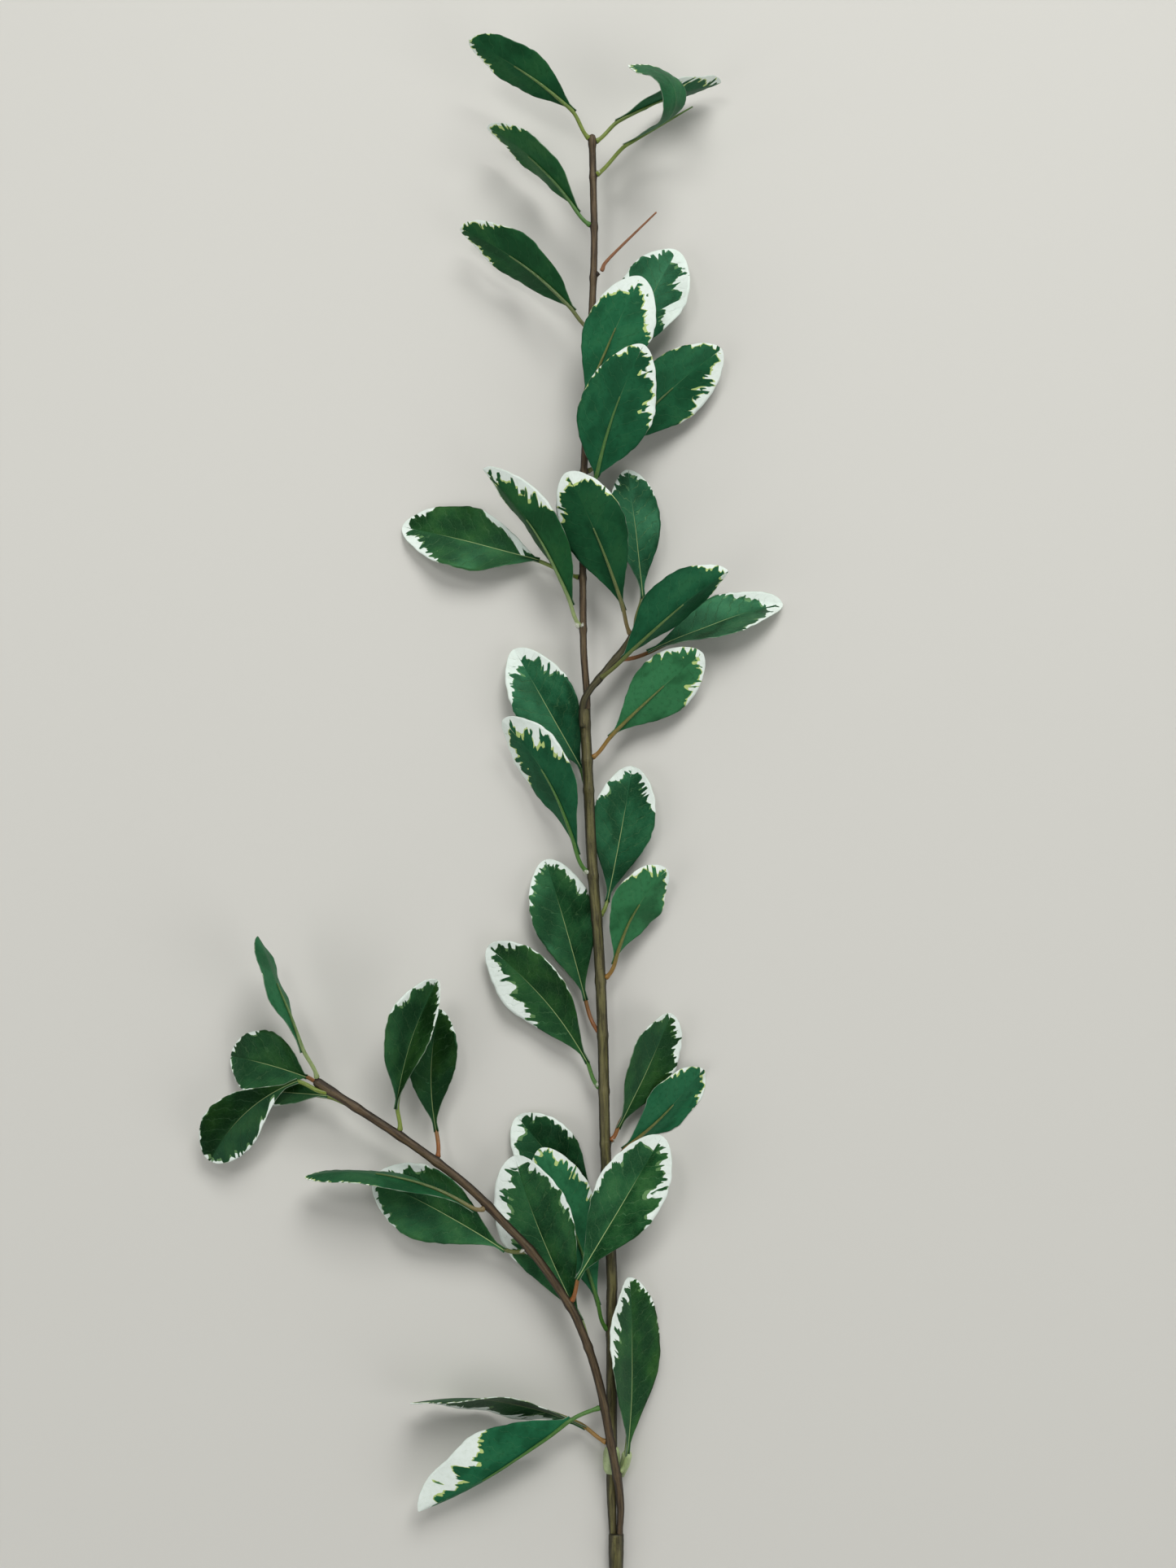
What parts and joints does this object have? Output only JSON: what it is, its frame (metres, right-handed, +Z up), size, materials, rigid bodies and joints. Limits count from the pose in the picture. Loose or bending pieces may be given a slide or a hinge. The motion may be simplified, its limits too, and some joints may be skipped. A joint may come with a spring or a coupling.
{
  "type": "variegated pittosporum spray",
  "caption": "Long spray of variegated pittosporum lying on a surface: wire stems with a side branch, carrying obovate green leaves with irregular white margins.",
  "frame": {"origin": "middle of the flat spot under the foot sleeve, on the surface that the spray lies on", "axes": "+Y along the main stem from the cut foot to the top leaves, +X to the right seen from above, +Z up from the surface"},
  "size_m": [0.2763, 0.8061, 0.0599],
  "materials": {
    "bark_olive": "olive-brown coated wire stem, satin",
    "bark_brown": "dark red-brown coated wire stem, satin",
    "leaf": "printed fabric blade, green with irregular white margins, satin front and matte back, on a moulded plastic stalk",
    "stalk": "reddish-brown moulded stalk"
  },
  "bodies": {
    "root": {"stem_base": "bark_olive", "main_stem": "bark_olive", "twig": "bark_olive", "upper_stem": "bark_brown", "side_branch": "bark_brown", "bare_stalk": "stalk", "upper_leaf_01": "leaf", "upper_leaf_02": "leaf", "upper_leaf_03": "leaf", "upper_leaf_04": "leaf", "upper_leaf_05": "leaf", "upper_leaf_06": "leaf", "upper_leaf_07": "leaf", "upper_leaf_08": "leaf", "upper_leaf_09": "leaf", "upper_leaf_10": "leaf", "upper_leaf_11": "leaf", "twig_leaf_1": "leaf", "twig_leaf_2": "leaf", "twig_leaf_3": "leaf", "twig_leaf_4": "leaf", "main_leaf_01": "leaf", "main_leaf_02": "leaf", "main_leaf_03": "leaf", "main_leaf_04": "leaf", "main_leaf_05": "leaf", "main_leaf_06": "leaf", "main_leaf_07": "leaf", "main_leaf_08": "leaf", "main_leaf_09": "leaf", "main_leaf_10": "leaf", "main_leaf_11": "leaf", "side_leaf_01": "leaf", "side_leaf_02": "leaf", "side_leaf_03": "leaf", "side_leaf_04": "leaf", "side_leaf_05": "leaf", "side_leaf_06": "leaf", "side_leaf_07": "leaf", "side_leaf_08": "leaf", "side_leaf_09": "leaf", "side_leaf_10": "leaf", "side_leaf_11": "leaf", "side_leaf_12": "leaf", "side_leaf_13": "leaf"}
  },
  "joints": []
}
